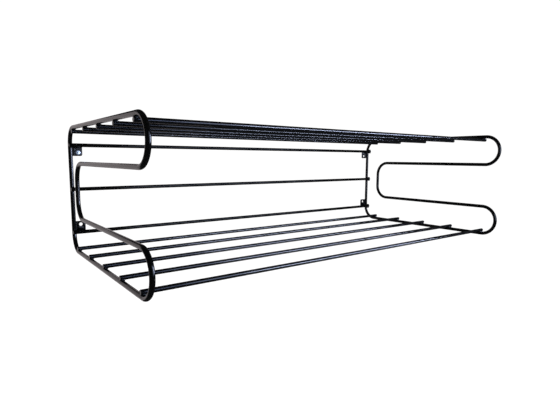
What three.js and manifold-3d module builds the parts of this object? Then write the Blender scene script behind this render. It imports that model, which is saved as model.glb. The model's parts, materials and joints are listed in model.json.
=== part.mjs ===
// Two-tier wall rack bent and welded from round steel rod.
//
// Each side is one closed loop of rod that lies in a plane across the wall. It runs up the wall, along
// the top rail, round a half-circle at the front, back along the upper arm, down past the notch, out
// along the lower arm, round a second half-circle and home along the bottom rail. Five straight bars
// hang under the top rails and five lie on the bottom rails, so the rack has two shelves. Three more
// bars cross in front of the back uprights. Four drilled tabs sit in the back corners for wall screws,
// and the upper left tab holds its screw.
//
// Millimetres, +Z up, +X to the right as seen from the front, and the wall is on the +Y side. The
// origin is the middle of the bounding box, on the surface that the bottom rails stand on.

import * as THREE from 'three';
import { mergeVertices } from 'three/addons/utils/BufferGeometryUtils.js';
import Module from 'manifold-3d';

const wasm = await Module();
wasm.setup();

// ---- Driving dimensions ---------------------------------------------------------------------------

const railRodDiameter = 6.5;        // rod of the two side loops
const barRodDiameter = 6;           // rod of the straight cross bars
const frameSpacing = 700;           // left loop to right loop, rod centre to rod centre
const railDepth = 336;              // back upright to the foremost point of a loop, at rod centre
const armHeight = 55;               // rail to arm of one loop end, at rod centre
const notchHeight = 84;             // upper arm to lower arm, at rod centre
const backGap = 36.5;               // back upright to the short upright of the notch, at rod centre
const cornerRadius = 27.5;          // quarter bends, at rod centre

const shelfBarCount = 5;            // bars in each shelf
const topBars = { behindFrontBend: 4, aheadOfCorner: 1 };
const bottomBars = { behindFrontBend: 0, aheadOfCorner: 5 };
const barEndPastRail = 0;           // bar end past the outer side of the side rod: flush
const barEndChamfer = 0.4;

const backBarNames = ['lower', 'middle', 'upper'];
const backBarRise = 1;              // back bars above even division of the straight upright

const tabThickness = 2;
const tabWidth = 14.5;
const tabHeight = 17;               // from the centre line of the back bar that covers its root
const tabCornerRadius = 3;
const tabHoleDiameter = 5.5;
const tabHoleDrop = 11.5;           // hole centre from the same centre line

const screwSide = 'left';           // the one upper tab that holds its screw
const screwHeadDiameter = 9;
const screwHeadHeight = 2.8;
const screwShankDiameter = 4;
const screwLength = 25;             // under the head
const screwTipLength = 6;
const recessWidth = 0.9;
const recessSpan = 4.6;
const recessDepth = 1.5;

const weldGap = 0.3;                // clearance left between pieces that are welded or clamped

// ---- Facet counts ---------------------------------------------------------------------------------

const rodSides = 16;
const bendStepsPerQuarter = 8;
const headArcSteps = 5;
const screwSides = 20;
const holeSides = 20;

// ---- Derived places -------------------------------------------------------------------------------
// Worked out with z = 0 on the bottom rail's centre line and y = 0 on the back uprights' centre line.

const railRadius = railRodDiameter / 2;
const barRadius = barRodDiameter / 2;
const frontBendRadius = armHeight / 2;
const loopHeight = 2 * armHeight + notchHeight;
const frontBendStart = -(railDepth - frontBendRadius);
const barOffset = railRadius + weldGap + barRadius;
const barLength = frameSpacing + 2 * (railRadius + barEndPastRail);
const wallPlane = railRadius;
const screwSeat = wallPlane - tabThickness - weldGap;
const screwTip = screwSeat + screwLength;

const frontReach = railDepth + railRadius;
const originY = (screwTip - frontReach) / 2;

// ---- Materials ------------------------------------------------------------------------------------

const blackEnamel = new THREE.MeshStandardMaterial({ color: 0x17181c, roughness: 0.28, metalness: 0 });
const zincPlate = new THREE.MeshStandardMaterial({ color: 0xc9d2d8, roughness: 0.35, metalness: 1 });

// ---- Side loop ------------------------------------------------------------------------------------

// A flat closed path of straights and round bends. Its stations are the ends of the straights and
// even steps round each bend, so a straight run stays one facet long.
class BentRodPath extends THREE.Curve {
  constructor(bends) {
    super();
    this.stations = [];
    for (const { y, z, radius, from, to } of bends) {
      const steps = Math.round(bendStepsPerQuarter * Math.abs(to - from) / 90);
      const turn = Math.sign(to - from);
      for (let i = 0; i <= steps; i++) {
        const angle = THREE.MathUtils.degToRad(from + (to - from) * i / steps);
        const [c, s] = [Math.cos(angle), Math.sin(angle)];
        this.stations.push({
          point: new THREE.Vector3(0, y + radius * c, z + radius * s),
          tangent: new THREE.Vector3(0, -turn * s, turn * c),
        });
      }
    }
  }

  stationAt(u) {
    return this.stations[Math.round(u * this.stations.length) % this.stations.length];
  }

  getPointAt(u, target = new THREE.Vector3()) {
    return target.copy(this.stationAt(u).point);
  }

  getTangentAt(u, target = new THREE.Vector3()) {
    return target.copy(this.stationAt(u).tangent);
  }
}

function sideLoopGeometry() {
  const top = loopHeight;
  const upperArm = top - armHeight;
  const lowerArm = armHeight;
  const backCentre = -cornerRadius;
  const notchCentre = -(backGap + cornerRadius);
  const path = new BentRodPath([
    { y: backCentre, z: top - cornerRadius, radius: cornerRadius, from: 0, to: 90 },
    { y: frontBendStart, z: top - frontBendRadius, radius: frontBendRadius, from: 90, to: 270 },
    { y: notchCentre, z: upperArm - cornerRadius, radius: cornerRadius, from: 90, to: 0 },
    { y: notchCentre, z: lowerArm + cornerRadius, radius: cornerRadius, from: 0, to: -90 },
    { y: frontBendStart, z: frontBendRadius, radius: frontBendRadius, from: 90, to: 270 },
    { y: backCentre, z: cornerRadius, radius: cornerRadius, from: 270, to: 360 },
  ]);
  // The path closes on itself, so the tube has no ends.
  return new THREE.TubeGeometry(path, path.stations.length, railRadius, rodSides, true);
}

// ---- Cross bar ------------------------------------------------------------------------------------

function crossBarGeometry() {
  const half = barLength / 2;
  const profile = [
    new THREE.Vector2(0, -half),
    new THREE.Vector2(barRadius - barEndChamfer, -half),
    new THREE.Vector2(barRadius, -half + barEndChamfer),
    new THREE.Vector2(barRadius, half - barEndChamfer),
    new THREE.Vector2(barRadius - barEndChamfer, half),
    new THREE.Vector2(0, half),
  ];
  return new THREE.LatheGeometry(profile, rodSides).rotateZ(-Math.PI / 2);
}

// ---- Wall tab -------------------------------------------------------------------------------------

// Stands in the XZ plane, centred on its thickness. Its welded edge is on x = 0 and its root, behind a
// back bar, is on z = 0. The two free corners are rounded.
function wallTabGeometry() {
  const r = tabCornerRadius;
  const outline = new THREE.Shape();
  outline.moveTo(0, 0);
  outline.lineTo(tabWidth - r, 0);
  outline.absarc(tabWidth - r, r, r, -Math.PI / 2, 0, false);
  outline.lineTo(tabWidth, tabHeight - r);
  outline.absarc(tabWidth - r, tabHeight - r, r, 0, Math.PI / 2, false);
  outline.lineTo(0, tabHeight);
  outline.closePath();
  const hole = new THREE.Path();
  hole.absarc(tabWidth / 2, tabHoleDrop, tabHoleDiameter / 2, 0, 2 * Math.PI, true);
  outline.holes.push(hole);
  const plate = new THREE.ExtrudeGeometry(outline, {
    depth: tabThickness,
    bevelEnabled: false,
    curveSegments: holeSides / 2,
  });
  return plate.rotateX(Math.PI / 2).translate(0, tabThickness / 2, 0);
}

// ---- Wall screw -----------------------------------------------------------------------------------

function toManifold(geometry) {
  const bare = geometry.clone();
  bare.deleteAttribute('normal');
  bare.deleteAttribute('uv');
  const merged = mergeVertices(bare, 1e-4);
  const corners = merged.index.array;
  const kept = [];
  for (let i = 0; i < corners.length; i += 3) {
    const [a, b, c] = corners.slice(i, i + 3);
    if (a !== b && b !== c && c !== a) kept.push(a, b, c);
  }
  return new wasm.Manifold(new wasm.Mesh({
    numProp: 3,
    vertProperties: new Float32Array(merged.attributes.position.array),
    triVerts: new Uint32Array(kept),
  }));
}

function fromManifold(solid) {
  const mesh = solid.getMesh();
  const geometry = new THREE.BufferGeometry();
  geometry.setAttribute('position', new THREE.BufferAttribute(mesh.vertProperties, 3));
  geometry.setIndex(new THREE.BufferAttribute(mesh.triVerts, 1));
  geometry.computeVertexNormals();
  return geometry;
}

// A pan head screw along +Y: the underside of its head is on y = 0 and its point is at y = length.
function wallScrewGeometry() {
  const headRadius = screwHeadDiameter / 2;
  const shankRadius = screwShankDiameter / 2;
  const crown = screwHeadHeight * 0.55;
  const profile = [new THREE.Vector2(0, -screwHeadHeight)];
  for (let i = 1; i <= headArcSteps; i++) {
    const angle = Math.PI / 2 * i / headArcSteps;
    const across = headRadius * Math.sin(angle);
    profile.push(new THREE.Vector2(across, -(screwHeadHeight - crown) - crown * Math.cos(angle)));
  }
  profile.push(new THREE.Vector2(headRadius, 0));
  profile.push(new THREE.Vector2(shankRadius, 0));
  profile.push(new THREE.Vector2(shankRadius, screwLength - screwTipLength));
  profile.push(new THREE.Vector2(0, screwLength));
  let screw = toManifold(new THREE.LatheGeometry(profile, screwSides));
  const cutDepth = recessDepth + crown;
  for (const [wide, tall] of [[recessSpan, recessWidth], [recessWidth, recessSpan]]) {
    const slot = new THREE.BoxGeometry(wide, cutDepth, tall);
    slot.translate(0, -screwHeadHeight - cutDepth / 2 + recessDepth, 0);
    screw = screw.subtract(toManifold(slot));
  }
  return fromManifold(screw);
}

// ---- Assembly -------------------------------------------------------------------------------------

const rack = new THREE.Group();
rack.position.set(0, -originY, railRadius);

function place(name, geometry, material, x, y, z) {
  const mesh = new THREE.Mesh(geometry, material);
  mesh.name = name;
  mesh.position.set(x, y, z);
  rack.add(mesh);
  return mesh;
}

const sides = [
  { name: 'left', x: -frameSpacing / 2, inward: 1 },
  { name: 'right', x: frameSpacing / 2, inward: -1 },
];

for (const side of sides) {
  place(`side_frame_${side.name}`, sideLoopGeometry(), blackEnamel, side.x, 0, 0);
}

function addShelf(name, inset, z) {
  const front = frontBendStart + inset.behindFrontBend;
  const rear = -(cornerRadius + inset.aheadOfCorner);
  for (let i = 0; i < shelfBarCount; i++) {
    const y = front + (rear - front) * i / (shelfBarCount - 1);
    place(`${name}_shelf_bar_${i + 1}`, crossBarGeometry(), blackEnamel, 0, y, z);
  }
}

addShelf('top', topBars, loopHeight - barOffset);
addShelf('bottom', bottomBars, barOffset);

const backBarHeights = {};
const uprightStraight = loopHeight - 2 * cornerRadius;
backBarNames.forEach((name, i) => {
  const z = cornerRadius + uprightStraight * i / (backBarNames.length - 1) + backBarRise;
  backBarHeights[name] = z;
  place(`back_bar_${name}`, crossBarGeometry(), blackEnamel, 0, -barOffset, z);
});

// The lower tabs stand up from the lower back bar and the upper ones hang from the upper back bar. A
// half turn points the plate the other way: about Z for the right, about X for down, about Y for both.
const halfTurns = {
  lower_left: [0, 0, 0],
  lower_right: [0, 0, Math.PI],
  upper_left: [Math.PI, 0, 0],
  upper_right: [0, Math.PI, 0],
};

for (const side of sides) {
  const rootX = side.x + side.inward * (railRadius + weldGap);
  for (const level of ['lower', 'upper']) {
    const name = `${level}_${side.name}`;
    const y = wallPlane - tabThickness / 2;
    const tab = place(`wall_tab_${name}`, wallTabGeometry(), blackEnamel, rootX, y, backBarHeights[level]);
    tab.rotation.set(...halfTurns[name]);
  }
  if (side.name === screwSide) {
    const holeX = rootX + side.inward * tabWidth / 2;
    const holeZ = backBarHeights.upper - tabHoleDrop;
    place(`wall_screw_${side.name}`, wallScrewGeometry(), zincPlate, holeX, screwSeat, holeZ);
  }
}

export default rack;
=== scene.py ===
"""Two-tier wall rack of bent and welded steel rod: its finished pieces, finishes and stage.

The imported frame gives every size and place. Each operator models one kind of piece over the frame's
plain solids, in metres, and gives it its finish. Run as a script, the file makes the whole rack.
"""

import json
import math

import bmesh
import bpy
from mathutils import Matrix, Vector

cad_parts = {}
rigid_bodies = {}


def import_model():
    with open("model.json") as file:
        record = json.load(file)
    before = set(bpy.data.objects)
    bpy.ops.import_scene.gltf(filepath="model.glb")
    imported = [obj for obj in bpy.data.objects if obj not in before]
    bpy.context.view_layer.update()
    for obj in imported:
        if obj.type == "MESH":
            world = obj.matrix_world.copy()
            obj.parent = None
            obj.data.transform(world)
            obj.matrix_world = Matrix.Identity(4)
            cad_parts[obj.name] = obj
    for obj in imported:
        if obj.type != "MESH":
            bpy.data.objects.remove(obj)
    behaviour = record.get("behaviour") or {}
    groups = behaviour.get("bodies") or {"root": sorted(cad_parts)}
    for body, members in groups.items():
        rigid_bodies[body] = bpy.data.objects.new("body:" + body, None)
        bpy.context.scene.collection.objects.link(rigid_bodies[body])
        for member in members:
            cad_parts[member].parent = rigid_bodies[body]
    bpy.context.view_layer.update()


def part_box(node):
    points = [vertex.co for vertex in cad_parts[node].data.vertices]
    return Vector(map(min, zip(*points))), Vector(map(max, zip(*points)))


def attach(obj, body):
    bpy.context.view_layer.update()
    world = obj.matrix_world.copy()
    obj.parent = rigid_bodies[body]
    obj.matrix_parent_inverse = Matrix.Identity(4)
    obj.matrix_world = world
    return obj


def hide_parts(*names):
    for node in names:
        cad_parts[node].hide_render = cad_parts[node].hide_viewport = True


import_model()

bl_info = {
    "name": "Welded Rod Wall Rack",
    "version": (1, 0, 0),
    "blender": (4, 5, 0),
    "location": "3D View > Sidebar > Rack",
    "description": "Models a two-tier wall rack of enamelled steel rod on its packed frame",
    "category": "Add Mesh",
}

MM = 0.001
NO_TURN = Matrix.Identity(3)
SIDES = ("left", "right")
SHELVES = ("top", "bottom")
BARS_PER_SHELF = 5
BACK_BARS = ("lower", "middle", "upper")

# Radii of the wood screw's shank, and the length of its point.
SCREW_ROOT = 1.4 * MM
SCREW_SHANK = 2.0 * MM
SCREW_TIP = 6 * MM

LEFT_LOW, LEFT_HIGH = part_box("side_frame_left")
BAR_LOW, BAR_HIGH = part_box("back_bar_lower")
TAB_LOW, TAB_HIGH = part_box("wall_tab_upper_left")
SCREW_LOW, SCREW_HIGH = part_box("wall_screw_left")

RAIL_RADIUS = (LEFT_HIGH.x - LEFT_LOW.x) / 2
BAR_RADIUS = (BAR_HIGH.z - BAR_LOW.z) / 2
BACK_Y = LEFT_HIGH.y - RAIL_RADIUS
FRONT_Y = LEFT_LOW.y + RAIL_RADIUS
BOTTOM_Z = LEFT_LOW.z + RAIL_RADIUS
TOP_Z = LEFT_HIGH.z - RAIL_RADIUS


# ---- Settings a user would change ------------------------------------------------------------------


class RackSizes(bpy.types.PropertyGroup):
    """Sizes of the rod work that the frame's boxes don't give."""

    arm_height: bpy.props.FloatProperty(
        name="Arm height", description="Rail to arm at rod centre",
        default=55 * MM, min=0.0, unit="LENGTH")
    back_gap: bpy.props.FloatProperty(
        name="Back gap", description="Back upright to the short upright of the notch, at rod centre",
        default=36.5 * MM, min=0.0, unit="LENGTH")
    corner_radius: bpy.props.FloatProperty(
        name="Corner radius", description="Quarter bends at rod centre",
        default=27.5 * MM, min=0.0, unit="LENGTH")
    rod_sides: bpy.props.IntProperty(
        name="Rod sides", description="Facets round a rod before smooth shading",
        default=32, min=8)
    end_rounding: bpy.props.FloatProperty(
        name="End rounding", description="Rounding of a cropped bar end",
        default=0.45 * MM, min=0.0, unit="LENGTH")
    tab_corner: bpy.props.FloatProperty(
        name="Tab corner", description="Radius of a tab's free corners",
        default=3 * MM, min=0.0, unit="LENGTH")
    hole_diameter: bpy.props.FloatProperty(
        name="Tab hole", description="Diameter of the punched screw hole",
        default=5.5 * MM, min=0.0, unit="LENGTH")
    hole_drop: bpy.props.FloatProperty(
        name="Hole drop", description="Tab root to hole centre",
        default=11.5 * MM, min=0.0, unit="LENGTH")
    weld_size: bpy.props.FloatProperty(
        name="Weld size", description="Half width of the weld metal across a rail",
        default=3.3 * MM, min=0.0, unit="LENGTH")


class RackFinish(bpy.types.PropertyGroup):
    """Colours of the enamel and of the zinc plate, as sRGB."""

    enamel_colour: bpy.props.StringProperty(
        name="Enamel", description="Colour of the stoved enamel", default="#050607")
    enamel_gloss: bpy.props.FloatProperty(
        name="Enamel roughness", description="Roughness of the clean enamel",
        default=0.12, min=0.0, max=1.0)
    zinc_colour: bpy.props.StringProperty(
        name="Zinc", description="Colour of the bright zinc plate", default="#cfd8de")


class RackStage(bpy.types.PropertyGroup):
    """Place and lens of the camera, and the depth of the floor."""

    camera_place: bpy.props.FloatVectorProperty(
        name="Camera", description="Camera place in the rack's frame", size=3, unit="LENGTH",
        default=(-0.5075, -0.5959, 0.1519))
    camera_yaw: bpy.props.FloatProperty(
        name="Yaw", description="Turn to the right of straight ahead",
        default=math.radians(37.48), subtype="ANGLE")
    camera_pitch: bpy.props.FloatProperty(
        name="Pitch", description="Tilt above the horizon",
        default=math.radians(-6.78), subtype="ANGLE")
    camera_roll: bpy.props.FloatProperty(
        name="Roll", description="Turn about the line of sight",
        default=math.radians(0.36), subtype="ANGLE")
    focal_length: bpy.props.FloatProperty(
        name="Lens", description="Focal length in millimetres on a 36 mm sensor",
        default=27.87, min=1.0)
    floor_drop: bpy.props.FloatProperty(
        name="Floor drop", description="Floor below the bottom rails",
        default=0.9, unit="LENGTH")


# ---- Small helpers ---------------------------------------------------------------------------------


def linear(colour):
    """An sRGB hex colour as linear red, green, blue and full alpha."""
    parts = [int(colour[i:i + 2], 16) / 255 for i in (1, 3, 5)]
    straight = [c / 12.92 if c <= 0.04045 else ((c + 0.055) / 1.055) ** 2.4 for c in parts]
    return (*straight, 1.0)


def node(tree, kind, settings=None, inputs=None):
    """Add one shader node, with its own settings, socket values and incoming links."""
    new = tree.nodes.new(kind)
    for name, value in (settings or {}).items():
        setattr(new, name, value)
    for name, value in (inputs or {}).items():
        socket = new.inputs[name]
        if isinstance(value, bpy.types.NodeSocket):
            tree.links.new(value, socket)
        else:
            socket.default_value = value
    return new


def only(*objects):
    """Select these objects and nothing else, with the last one active."""
    bpy.ops.object.select_all(action="DESELECT")
    for item in objects:
        item.select_set(True)
        bpy.context.view_layer.objects.active = item


def deselect():
    """Select nothing, so that the next primitive stands alone."""
    bpy.ops.object.select_all(action="DESELECT")


def edit(item):
    """Open one object's mesh for editing."""
    only(item)
    bpy.ops.object.mode_set(mode="EDIT")


def done():
    """Close the mesh that is being edited."""
    bpy.ops.object.mode_set(mode="OBJECT")


def pick(item, part, test):
    """In edit mode, select the vertices, edges or faces that pass a test."""
    bpy.ops.mesh.select_mode(type=part)
    bpy.ops.mesh.select_all(action="DESELECT")
    mesh = bmesh.from_edit_mesh(item.data)
    kinds = {"VERT": mesh.verts, "EDGE": mesh.edges, "FACE": mesh.faces}
    for element in kinds[part]:
        if test(element):
            element.select_set(True)
    mesh.select_flush_mode()
    bmesh.update_edit_mesh(item.data)


def settle(item):
    """Move an object's place, turn and size into its mesh."""
    only(item)
    bpy.ops.object.transform_apply(location=True, rotation=True, scale=True)


def apply_modifier(item, kind, **settings):
    """Add one modifier with its settings, and apply it."""
    only(item)
    modifier = item.modifiers.new(kind.title(), kind)
    for name, value in settings.items():
        setattr(modifier, name, value)
    bpy.ops.object.modifier_apply(modifier=modifier.name)


def face_outwards(item):
    """Merge doubles and turn every face out."""
    edit(item)
    bpy.ops.mesh.select_all(action="SELECT")
    bpy.ops.mesh.remove_doubles(threshold=0.002 * MM)
    bpy.ops.mesh.normals_make_consistent(inside=False)
    done()


def finish_piece(item, name, finish, replaced=()):
    """Name a piece, give it its finish and let it ride on the rack."""
    item.name = name
    item.data.name = name
    item.data.materials.clear()
    item.data.materials.append(finish)
    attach(item, "root")
    if replaced:
        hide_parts(*replaced)
    return item


def copy_of(item, turn, place):
    """A copy with its own mesh, turned and set in place."""
    twin = item.copy()
    twin.data = item.data.copy()
    bpy.context.collection.objects.link(twin)
    twin.matrix_world = Matrix.Translation(place) @ turn.to_4x4()
    settle(twin)
    return twin


# ---- Finishes --------------------------------------------------------------------------------------


def black_enamel():
    """Stoved black enamel, sprayed on and baked.

    A deep, slightly blue black with a clear gloss. The spray leaves a faint orange peel, and handling
    leaves dull smudges, so a reflection is sharp in places and soft in others.
    """
    finish = bpy.data.materials.get("stoved_enamel")
    if finish:
        return finish
    look = bpy.context.scene.rack_finish
    finish = bpy.data.materials.new("stoved_enamel")
    finish.use_nodes = True
    tree = finish.node_tree
    tree.nodes.clear()
    place = node(tree, "ShaderNodeTexCoord").outputs["Object"]

    # Smudges are patches about 25 mm across.
    smudge = node(tree, "ShaderNodeTexNoise", {}, {
        "Vector": place, "Scale": 1 / (25 * MM), "Detail": 4.0, "Roughness": 0.6})
    gloss = node(tree, "ShaderNodeMapRange", {}, {
        "Value": smudge.outputs["Fac"], "From Min": 0.4, "From Max": 0.7,
        "To Min": look.enamel_gloss, "To Max": look.enamel_gloss + 0.08})

    # Thin spots let a little of the brown primer through.
    tone = node(tree, "ShaderNodeTexNoise", {}, {
        "Vector": place, "Scale": 1 / (9 * MM), "Detail": 3.0})
    thin = node(tree, "ShaderNodeMapRange", {}, {
        "Value": tone.outputs["Fac"], "From Min": 0.45, "From Max": 0.75})
    colour = node(tree, "ShaderNodeMix", {"data_type": "RGBA"}, {
        "Factor": thin.outputs["Result"]})
    colour.inputs["A"].default_value = linear(look.enamel_colour)
    colour.inputs["B"].default_value = linear("#0b0909")

    # Orange peel is about 2.2 mm from crest to crest.
    peel = node(tree, "ShaderNodeTexNoise", {}, {
        "Vector": place, "Scale": 1 / (2.2 * MM), "Detail": 1.0})
    bump = node(tree, "ShaderNodeBump", {}, {
        "Height": peel.outputs["Fac"], "Strength": 0.2, "Distance": 0.01 * MM})

    shader = node(tree, "ShaderNodeBsdfPrincipled", {}, {
        "Base Color": colour.outputs["Result"], "Roughness": gloss.outputs["Result"],
        "Normal": bump.outputs["Normal"], "IOR": 1.5, "Metallic": 0.0})
    node(tree, "ShaderNodeOutputMaterial", {}, {"Surface": shader.outputs["BSDF"]})
    return finish


def bright_zinc():
    """Electroplated zinc with a clear blue passivate, as on a wood screw."""
    finish = bpy.data.materials.get("bright_zinc")
    if finish:
        return finish
    look = bpy.context.scene.rack_finish
    finish = bpy.data.materials.new("bright_zinc")
    finish.use_nodes = True
    tree = finish.node_tree
    tree.nodes.clear()
    place = node(tree, "ShaderNodeTexCoord").outputs["Object"]
    cloud = node(tree, "ShaderNodeTexNoise", {}, {
        "Vector": place, "Scale": 1 / (1.2 * MM), "Detail": 3.0})
    gloss = node(tree, "ShaderNodeMapRange", {}, {
        "Value": cloud.outputs["Fac"], "To Min": 0.36, "To Max": 0.52})
    grain = node(tree, "ShaderNodeBump", {}, {
        "Height": cloud.outputs["Fac"], "Strength": 0.2, "Distance": 0.02 * MM})
    shader = node(tree, "ShaderNodeBsdfPrincipled", {}, {
        "Base Color": linear(look.zinc_colour), "Roughness": gloss.outputs["Result"],
        "Normal": grain.outputs["Normal"], "Metallic": 1.0})
    node(tree, "ShaderNodeOutputMaterial", {}, {"Surface": shader.outputs["BSDF"]})
    return finish


# ---- Side frames -----------------------------------------------------------------------------------


def rod_ring(radius, sides, place):
    """An open ring of rod section, lying level, ready to be drawn out."""
    deselect()
    bpy.ops.mesh.primitive_circle_add(
        vertices=sides, radius=radius, fill_type="NOTHING", location=place)
    ring = bpy.context.object
    settle(ring)
    edit(ring)
    bpy.ops.mesh.select_all(action="SELECT")
    return ring


def draw_straight(dy, dz):
    """Draw the open end of the rod straight on."""
    bpy.ops.mesh.extrude_region_move(TRANSFORM_OT_translate={"value": (0, dy, dz)})


def draw_bend(x, y, z, degrees):
    """Bend the open end of the rod round a die at y and z. Positive turns Y towards Z."""
    bpy.ops.mesh.spin(
        steps=max(4, round(abs(degrees) / 5)), dupli=False, angle=-math.radians(degrees),
        center=(x, y, z), axis=(1, 0, 0))


class RACK_OT_side_frames(bpy.types.Operator):
    """Bend the two side loops out of round rod"""

    bl_idname = "rack.side_frames"
    bl_label = "Side frames"

    def execute(self, context):
        sizes = context.scene.rack_sizes
        r, arm = sizes.corner_radius, sizes.arm_height
        nose = arm / 2
        upper_arm, lower_arm = TOP_Z - arm, BOTTOM_Z + arm
        notch_y = BACK_Y - sizes.back_gap
        nose_y = FRONT_Y + nose
        x = (LEFT_LOW.x + LEFT_HIGH.x) / 2
        loop = rod_ring(RAIL_RADIUS, sizes.rod_sides, (x, BACK_Y, BOTTOM_Z + r))
        draw_straight(0, TOP_Z - BOTTOM_Z - 2 * r)
        draw_bend(x, BACK_Y - r, TOP_Z - r, 90)
        draw_straight(nose_y - (BACK_Y - r), 0)
        draw_bend(x, nose_y, TOP_Z - nose, 180)
        draw_straight(notch_y - r - nose_y, 0)
        draw_bend(x, notch_y - r, upper_arm - r, -90)
        draw_straight(0, (lower_arm + r) - (upper_arm - r))
        draw_bend(x, notch_y - r, lower_arm + r, -90)
        draw_straight(nose_y - (notch_y - r), 0)
        draw_bend(x, nose_y, BOTTOM_Z + nose, 180)
        draw_straight(BACK_Y - r - nose_y, 0)
        draw_bend(x, BACK_Y - r, BOTTOM_Z + r, 90)
        done()
        face_outwards(loop)
        only(loop)
        bpy.ops.object.shade_smooth()
        right_low, right_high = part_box("side_frame_right")
        loops = {"left": loop, "right": copy_of(loop, NO_TURN, right_low - LEFT_LOW)}
        for side, rod in loops.items():
            finish_piece(rod, f"{side}_side_loop", black_enamel(),
                         [f"side_frame_{side}"])
        return {"FINISHED"}


# ---- Cross bars ------------------------------------------------------------------------------------


def cropped_bar(sizes):
    """A straight bar about the origin, with rounded, slightly dished ends as cropped wire has."""
    rim, dish = 0.5 * MM, 0.12 * MM
    deselect()
    bpy.ops.mesh.primitive_cylinder_add(
        vertices=sizes.rod_sides, radius=BAR_RADIUS, depth=BAR_HIGH.x - BAR_LOW.x,
        rotation=(0, math.pi / 2, 0))
    bar = bpy.context.object
    settle(bar)
    edit(bar)
    pick(bar, "FACE", lambda f: abs(f.normal.x) > 0.9)
    bpy.ops.mesh.region_to_loop()
    bpy.ops.mesh.bevel(offset=sizes.end_rounding, segments=3, affect="EDGES")
    pick(bar, "FACE", lambda f: abs(f.normal.x) > 0.99)
    bpy.ops.mesh.inset(thickness=rim)
    bpy.ops.mesh.inset(thickness=rim, depth=-dish)
    done()
    only(bar)
    bpy.ops.object.shade_smooth_by_angle(angle=math.radians(40))
    return bar


def shelf_bar_names(shelf):
    """The CAD nodes of one shelf's bars, from the front to the back."""
    return [f"{shelf}_shelf_bar_{i}" for i in range(1, BARS_PER_SHELF + 1)]


def lay_bars(names, sizes):
    """Lay one cropped bar at the place of each of these CAD nodes."""
    pattern = cropped_bar(sizes)
    for name in names:
        low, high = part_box(name)
        finish_piece(copy_of(pattern, NO_TURN, (low + high) / 2), f"{name}_cropped",
                     black_enamel(), [name])
    bpy.data.objects.remove(pattern)


class RACK_OT_shelf_bars(bpy.types.Operator):
    """Crop the straight bars of both shelves"""

    bl_idname = "rack.shelf_bars"
    bl_label = "Shelf bars"

    def execute(self, context):
        names = [bar for shelf in SHELVES for bar in shelf_bar_names(shelf)]
        lay_bars(names, context.scene.rack_sizes)
        return {"FINISHED"}


class RACK_OT_back_bars(bpy.types.Operator):
    """Crop the bars that cross the back uprights"""

    bl_idname = "rack.back_bars"
    bl_label = "Back bars"

    def execute(self, context):
        lay_bars([f"back_bar_{level}" for level in BACK_BARS], context.scene.rack_sizes)
        return {"FINISHED"}


# ---- Welds -----------------------------------------------------------------------------------------

# Distance from lump to lump on set weld metal.
LUMP_WAVE = 1.4 * MM


def weld_saddle(sizes):
    """Weld metal between a rail along Y and a bar along X that lies on it.

    The centre of the contact is the origin and the bar's end is on the -X side. Short stubs of both
    rods, a hair thinner than the rods, are fused with a flat bead and softened. Only the fillets in
    the four corners of the crossing stand out of the real rods.
    """
    shy = 0.06 * MM
    stub = 4.6 * MM
    end = RAIL_RADIUS - 0.3 * MM
    bead_height = 1.25 * MM
    flatter_along_rail = 0.92
    deselect()
    bpy.ops.mesh.primitive_cylinder_add(
        vertices=32, radius=RAIL_RADIUS - shy, depth=2 * stub,
        location=(0, 0, -RAIL_RADIUS), rotation=(math.pi / 2, 0, 0))
    rail = bpy.context.object
    bpy.ops.mesh.primitive_cylinder_add(
        vertices=32, radius=BAR_RADIUS - shy, depth=end + stub,
        location=((stub - end) / 2, 0, BAR_RADIUS), rotation=(0, math.pi / 2, 0))
    bar = bpy.context.object
    bpy.ops.mesh.primitive_uv_sphere_add(segments=24, ring_count=12, radius=1)
    bead = bpy.context.object
    bead.scale = (sizes.weld_size, sizes.weld_size * flatter_along_rail, bead_height)
    only(rail, bar, bead)
    bpy.ops.object.join()
    weld = bpy.context.object
    settle(weld)
    apply_modifier(weld, "REMESH", mode="VOXEL", voxel_size=0.3 * MM)
    apply_modifier(weld, "SMOOTH", factor=0.5, iterations=6)
    only(weld)
    bpy.ops.object.shade_smooth()
    return weld


def lumpy(item, depth, wave):
    """Push a mesh in and out a little, as set weld metal is, by a pattern in the rack's own space."""
    texture = bpy.data.textures.get("weld_lumps") or bpy.data.textures.new("weld_lumps", "CLOUDS")
    texture.noise_scale = wave
    apply_modifier(item, "DISPLACE", texture=texture, texture_coords="LOCAL", mid_level=0.5,
                   strength=depth)


class RACK_OT_welds(bpy.types.Operator):
    """Weld every bar to both side frames"""

    bl_idname = "rack.welds"
    bl_label = "Bar welds"

    def execute(self, context):
        saddle = weld_saddle(context.scene.rack_sizes)
        half_z = Matrix.Rotation(math.pi, 3, "Z")
        turns = {"bottom": NO_TURN, "top": Matrix.Rotation(math.pi, 3, "X"),
                 "back": Matrix.Rotation(math.pi / 2, 3, "X")}
        jobs = [("bottom", bar) for bar in shelf_bar_names("bottom")]
        jobs += [("top", bar) for bar in shelf_bar_names("top")]
        jobs += [("back", f"back_bar_{level}") for level in BACK_BARS]
        for side in SIDES:
            low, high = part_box(f"side_frame_{side}")
            x = (low.x + high.x) / 2
            for place, bar in jobs:
                turn = turns[place] if side == "left" else half_z @ turns[place]
                weld = copy_of(saddle, turn, self.contact(place, bar, x))
                lumpy(weld, 0.4 * MM, LUMP_WAVE)
                finish_piece(weld, f"weld_{bar}_{side}", black_enamel())
        bpy.data.objects.remove(saddle)
        return {"FINISHED"}

    def contact(self, place, bar, x):
        """Where a bar touches the bottom rail, the top rail or the back upright at x."""
        low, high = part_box(bar)
        y, z = (low.y + high.y) / 2, (low.z + high.z) / 2
        if place == "bottom":
            return Vector((x, y, (low.z + BOTTOM_Z + RAIL_RADIUS) / 2))
        if place == "top":
            return Vector((x, y, (high.z + TOP_Z - RAIL_RADIUS) / 2))
        return Vector((x, (high.y + BACK_Y - RAIL_RADIUS) / 2, z))


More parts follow.
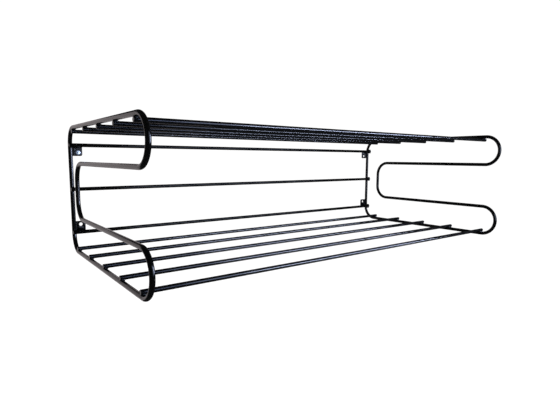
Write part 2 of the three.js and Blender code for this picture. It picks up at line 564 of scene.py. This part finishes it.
# ---- Wall tabs -------------------------------------------------------------------------------------


class RACK_OT_wall_tabs(bpy.types.Operator):
    """Stamp the drilled wall tabs and weld them into the back corners"""

    bl_idname = "rack.wall_tabs"
    bl_label = "Wall tabs"

    def execute(self, context):
        sizes = context.scene.rack_sizes
        plate, bead = self.plate(sizes), self.bead()
        turns = {("upper", "left"): NO_TURN, ("upper", "right"): Matrix.Rotation(math.pi, 3, "Z"),
                 ("lower", "left"): Matrix.Rotation(math.pi, 3, "X"),
                 ("lower", "right"): Matrix.Rotation(math.pi, 3, "Y")}
        for (level, side), turn in turns.items():
            name = f"wall_tab_{level}_{side}"
            low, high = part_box(name)
            middle = (low + high) / 2
            finish_piece(copy_of(plate, turn, middle), f"{name}_stamped", black_enamel(),
                         [name])
            about = NO_TURN if side == "left" else Matrix.Rotation(math.pi, 3, "Y")
            weld = copy_of(bead, about, middle)
            lumpy(weld, 0.25 * MM, LUMP_WAVE)
            finish_piece(weld, f"weld_{name}", black_enamel())
        bpy.data.objects.remove(plate)
        bpy.data.objects.remove(bead)
        return {"FINISHED"}

    def plate(self, sizes):
        """The upper left plate about its own centre: two round corners, a hole, softened edges."""
        size = TAB_HIGH - TAB_LOW
        deselect()
        bpy.ops.mesh.primitive_cube_add(size=1, scale=size)
        tab = bpy.context.object
        settle(tab)
        edit(tab)
        pick(tab, "EDGE", lambda e: all(v.co.x > 0.49 * size.x for v in e.verts)
             and abs(e.verts[0].co.y - e.verts[1].co.y) > size.y / 2)
        bpy.ops.mesh.bevel(offset=sizes.tab_corner, segments=8, affect="EDGES")
        done()
        hole_x = (SCREW_LOW.x + SCREW_HIGH.x - TAB_LOW.x - TAB_HIGH.x) / 2
        deselect()
        bpy.ops.mesh.primitive_cylinder_add(
            vertices=40, radius=sizes.hole_diameter / 2, depth=3 * size.y,
            location=(hole_x, 0, size.z / 2 - sizes.hole_drop), rotation=(math.pi / 2, 0, 0))
        punch = bpy.context.object
        settle(punch)
        apply_modifier(tab, "BOOLEAN", operation="DIFFERENCE", solver="EXACT", object=punch)
        bpy.data.objects.remove(punch)
        apply_modifier(tab, "BEVEL", width=0.28 * MM, segments=3, limit_method="ANGLE",
                       angle_limit=math.radians(50))
        only(tab)
        bpy.ops.object.shade_smooth_by_angle(angle=math.radians(35))
        return tab

    def bead(self):
        """A rippled weld bead down the front corner between the left plate and its upright."""
        size = TAB_HIGH - TAB_LOW
        pitch = 1.15 * MM
        unwelded = 4 * MM
        drop_size = (1.7 * MM, 1.15 * MM, 1.0 * MM)
        corner = Vector((-size.x / 2 - 0.2 * MM, -size.y / 2 + 0.1 * MM, 0))
        count = int((size.z - unwelded) / pitch)
        drops = []
        for i in range(count):
            along = Vector((0, 0, pitch * (i - (count - 1) / 2)))
            deselect()
            bpy.ops.mesh.primitive_uv_sphere_add(
                segments=20, ring_count=10, radius=1, location=corner + along)
            bpy.context.object.scale = drop_size
            drops.append(bpy.context.object)
        only(*drops)
        bpy.ops.object.join()
        bead = bpy.context.object
        settle(bead)
        apply_modifier(bead, "REMESH", mode="VOXEL", voxel_size=0.22 * MM)
        apply_modifier(bead, "SMOOTH", factor=0.5, iterations=3)
        only(bead)
        bpy.ops.object.shade_smooth()
        return bead


# ---- Wall screw ------------------------------------------------------------------------------------


class RACK_OT_wall_screw(bpy.types.Operator):
    """Turn the pan head screw that holds the upper left tab"""

    bl_idname = "rack.wall_screw"
    bl_label = "Wall screw"

    def execute(self, context):
        screw = self.screw()
        place = Vector(((SCREW_LOW.x + SCREW_HIGH.x) / 2, SCREW_HIGH.y,
                        (SCREW_LOW.z + SCREW_HIGH.z) / 2))
        recess_turn = math.radians(20)
        screw.rotation_euler = (0, recess_turn, 0)
        screw.location = place
        settle(screw)
        finish_piece(screw, "wall_screw_left_turned", bright_zinc(),
                     ["wall_screw_left"])
        return {"FINISHED"}

    def screw(self):
        """Head, shank, thread and cross recess along -Y, with the point at the origin."""
        length = SCREW_HIGH.y - SCREW_LOW.y
        clamp_gap = 0.3 * MM
        seat = SCREW_HIGH.y - TAB_LOW.y + clamp_gap
        body = self.body(length, seat)
        for angle in (0, math.pi / 2):
            self.cut_recess(body, length, angle)
        thread = self.thread(seat - 7.5 * MM)
        only(thread, body)
        bpy.ops.object.join()
        bpy.ops.object.shade_smooth_by_angle(angle=math.radians(32))
        return bpy.context.object

    def body(self, length, seat):
        """Point, shank and pan head, drawn out ring by ring from the point."""
        head_radius = (SCREW_HIGH.x - SCREW_LOW.x) / 2
        head = length - seat
        start = 0.05 * MM
        deselect()
        bpy.ops.mesh.primitive_circle_add(
            vertices=40, radius=start, fill_type="NGON", rotation=(math.pi / 2, 0, 0))
        body = bpy.context.object
        settle(body)
        steps = [(SCREW_TIP, SCREW_ROOT), (seat - 7 * MM, SCREW_ROOT),
                 (seat - 6.5 * MM, SCREW_SHANK), (seat, SCREW_SHANK),
                 (seat, head_radius), (seat + 0.12 * MM, head_radius)]
        # The pan is flat-topped with a round shoulder.
        arcs = 7
        for i in range(1, arcs + 1):
            angle = math.pi / 2 * i / (arcs + 1)
            steps.append((seat + 0.35 * head + 0.65 * head * math.sin(angle),
                          head_radius * math.cos(angle) ** 0.8))
        steps.append((length, 1.0 * MM))
        along, radius = 0.0, start
        edit(body)
        bpy.ops.mesh.select_all(action="SELECT")
        for next_along, next_radius in steps:
            bpy.ops.mesh.extrude_region_move(
                TRANSFORM_OT_translate={"value": (0, along - next_along, 0)})
            factor = next_radius / radius
            bpy.ops.transform.resize(
                value=(factor, 1, factor), center_override=(0, -next_along, 0))
            along, radius = next_along, next_radius
        done()
        face_outwards(body)
        return body

    def cut_recess(self, body, length, angle):
        """Cut one tapered slot of the cross into the head."""
        slot_flatness = 0.24
        deselect()
        bpy.ops.mesh.primitive_cone_add(
            vertices=4, radius1=1.2 * MM, radius2=2.7 * MM, depth=1.9 * MM,
            location=(0, -length + 0.75 * MM, 0), rotation=(math.pi / 2, 0, 0))
        blade = bpy.context.object
        settle(blade)
        blade.scale = (1, 1, slot_flatness)
        settle(blade)
        blade.rotation_euler = (0, angle, 0)
        settle(blade)
        face_outwards(blade)
        apply_modifier(body, "BOOLEAN", operation="DIFFERENCE", solver="EXACT", object=blade)
        bpy.data.objects.remove(blade)

    def thread(self, end):
        """A ridge wound round the shank, one turn every 1.6 mm, running out along the point."""
        pitch = 1.6 * MM
        ridge_size = 0.5 * MM
        begin = 1.2 * MM
        deselect()
        bpy.ops.mesh.primitive_circle_add(
            vertices=3, radius=ridge_size, fill_type="NOTHING",
            location=(0, SCREW_SHANK - ridge_size, 0), rotation=(0, math.pi / 2, 0))
        ridge = bpy.context.object
        settle(ridge)
        apply_modifier(ridge, "SCREW", axis="Z", steps=20, render_steps=20, screw_offset=pitch,
                       iterations=int((end - begin) / pitch), use_normal_calculate=True)
        edit(ridge)
        bpy.ops.mesh.select_all(action="SELECT")
        bpy.ops.mesh.fill_holes(sides=0)
        done()
        ridge.location = (0, 0, begin)
        settle(ridge)
        for vertex in ridge.data.vertices:
            if vertex.co.z < SCREW_TIP:
                narrow = 0.3 + 0.7 * vertex.co.z / SCREW_TIP
                vertex.co.x *= narrow
                vertex.co.y *= narrow
        ridge.rotation_euler = (math.pi / 2, 0, 0)
        settle(ridge)
        face_outwards(ridge)
        return ridge


# ---- Stage -----------------------------------------------------------------------------------------


class RACK_OT_stage(bpy.types.Operator):
    """Set the pale floor, the soft studio light and the camera"""

    bl_idname = "rack.stage"
    bl_label = "Stage"

    def execute(self, context):
        stage = context.scene.rack_stage
        context.scene.view_settings.view_transform = "Standard"
        self.camera(context, stage)
        self.floor(stage)
        self.world(context)
        self.lights()
        return {"FINISHED"}

    def camera(self, context, stage):
        look = (Matrix.Rotation(-stage.camera_yaw, 3, "Z")
                @ Matrix.Rotation(math.pi / 2 + stage.camera_pitch, 3, "X")
                @ Matrix.Rotation(stage.camera_roll, 3, "Z"))
        deselect()
        bpy.ops.object.camera_add(location=stage.camera_place, rotation=look.to_euler())
        camera = context.object
        camera.name = "stage_camera"
        camera.data.lens = stage.focal_length
        camera.data.clip_start = 0.01
        context.scene.camera = camera

    def floor(self, stage):
        """A pale floor that the gloss of the rods doesn't pick up."""
        deselect()
        bpy.ops.mesh.primitive_plane_add(size=30, location=(0, 0, -stage.floor_drop))
        floor = bpy.context.object
        floor.name = "stage_floor"
        paint = bpy.data.materials.new("floor_paint")
        paint.use_nodes = True
        shader = paint.node_tree.nodes["Principled BSDF"]
        shader.inputs["Base Color"].default_value = linear("#fafafa")
        shader.inputs["Roughness"].default_value = 0.9
        floor.data.materials.append(paint)
        floor.visible_glossy = False

    def world(self, context):
        """White where the camera looks, and a dim room for everything else."""
        world = bpy.data.worlds.new("studio")
        world.use_nodes = True
        tree = world.node_tree
        tree.nodes.clear()
        white = linear("#ffffff")
        backdrop = node(tree, "ShaderNodeBackground", {}, {"Color": white, "Strength": 1.05})
        room = node(tree, "ShaderNodeBackground", {}, {"Color": white, "Strength": 0.03})
        ray = node(tree, "ShaderNodeLightPath")
        both = node(tree, "ShaderNodeMixShader", {}, {"Fac": ray.outputs["Is Camera Ray"]})
        tree.links.new(room.outputs["Background"], both.inputs[1])
        tree.links.new(backdrop.outputs["Background"], both.inputs[2])
        node(tree, "ShaderNodeOutputWorld", {}, {"Surface": both.outputs["Shader"]})
        context.scene.world = world

    def lights(self):
        """Cool windows to the right, a dim curtain round them, a warm panel behind, a floor wash.

        Each softbox has its place, its width and height in metres, its brightness and its colour.
        """
        pieces = bpy.data.objects
        shelf_bars = [piece for piece in pieces if "_shelf_bar_" in piece.name]
        window = self.softbox("window", (0.80, -0.80, 0.17), (1.50, 0.08), 62.0, "#cfdcff")
        self.shine_on(window, shelf_bars + [pieces["wall_screw_left_turned"]])
        edge = self.softbox("window_edge", (-0.20, -0.80, 0.17), (0.50, 0.12), 7.0, "#b9ccff")
        self.shine_on(edge, shelf_bars)
        side = self.softbox("side_window", (1.15, -0.80, 0.26), (0.60, 0.50), 38.0, "#cfdcff")
        self.shine_on(side, [pieces["left_side_loop"]])
        self.softbox("curtain", (0.60, -0.85, 0.28), (1.50, 0.55), 2.3, "#d4e0ff")
        self.softbox("warm_panel", (-0.35, 1.60, -0.20), (2.00, 1.70), 0.58, "#fff4f6")
        deselect()
        bpy.ops.object.light_add(type="SUN", location=(0, 0, 3))
        wash = bpy.context.object
        wash.name = "floor_wash"
        wash.data.energy = 3.6
        wash.data.angle = math.radians(60)
        wash.visible_glossy = False
        self.shine_on(wash, [pieces["stage_floor"]])

    def shine_on(self, lamp, pieces):
        """Let a light reach these pieces alone."""
        lit = bpy.data.collections.new(f"lit_by_{lamp.name}")
        for piece in pieces:
            lit.objects.link(piece)
        lamp.light_linking.receiver_collection = lit

    def softbox(self, name, place, size, radiance, colour):
        """An upright rectangular soft light that faces the rack squarely, of a given brightness."""
        deselect()
        bpy.ops.object.light_add(type="AREA", location=place)
        lamp = bpy.context.object
        lamp.name = name
        lamp.data.shape = "RECTANGLE"
        lamp.data.size, lamp.data.size_y = size
        lamp.data.energy = math.pi * radiance * size[0] * size[1]
        lamp.data.color = linear(colour)[:3]
        lamp.rotation_euler = Vector((0, -place[1], 0)).to_track_quat("-Z", "Y").to_euler()
        lamp.visible_camera = False
        return lamp


# ---- Panel and registration ------------------------------------------------------------------------

STEPS = ("side_frames", "shelf_bars", "back_bars", "welds", "wall_tabs", "wall_screw", "stage")


class RACK_PT_panel(bpy.types.Panel):
    """Lists the rack's pieces and the stage"""

    bl_idname = "RACK_PT_panel"
    bl_label = "Welded Rod Wall Rack"
    bl_space_type = "VIEW_3D"
    bl_region_type = "UI"
    bl_category = "Rack"

    def draw(self, context):
        for group in (context.scene.rack_sizes, context.scene.rack_finish, context.scene.rack_stage):
            column = self.layout.column()
            for name in group.__annotations__:
                column.prop(group, name)
        for step in STEPS:
            self.layout.operator(f"rack.{step}")


CLASSES = (
    RackSizes, RackFinish, RackStage, RACK_OT_side_frames, RACK_OT_shelf_bars, RACK_OT_back_bars,
    RACK_OT_welds, RACK_OT_wall_tabs, RACK_OT_wall_screw, RACK_OT_stage, RACK_PT_panel,
)


def register():
    for item in CLASSES:
        bpy.utils.register_class(item)
    bpy.types.Scene.rack_sizes = bpy.props.PointerProperty(type=RackSizes)
    bpy.types.Scene.rack_finish = bpy.props.PointerProperty(type=RackFinish)
    bpy.types.Scene.rack_stage = bpy.props.PointerProperty(type=RackStage)


def unregister():
    del bpy.types.Scene.rack_stage
    del bpy.types.Scene.rack_finish
    del bpy.types.Scene.rack_sizes
    for item in reversed(CLASSES):
        bpy.utils.unregister_class(item)


def main():
    register()
    for step in STEPS:
        getattr(bpy.ops.rack, step)()


if __name__ == "__main__":
    main()
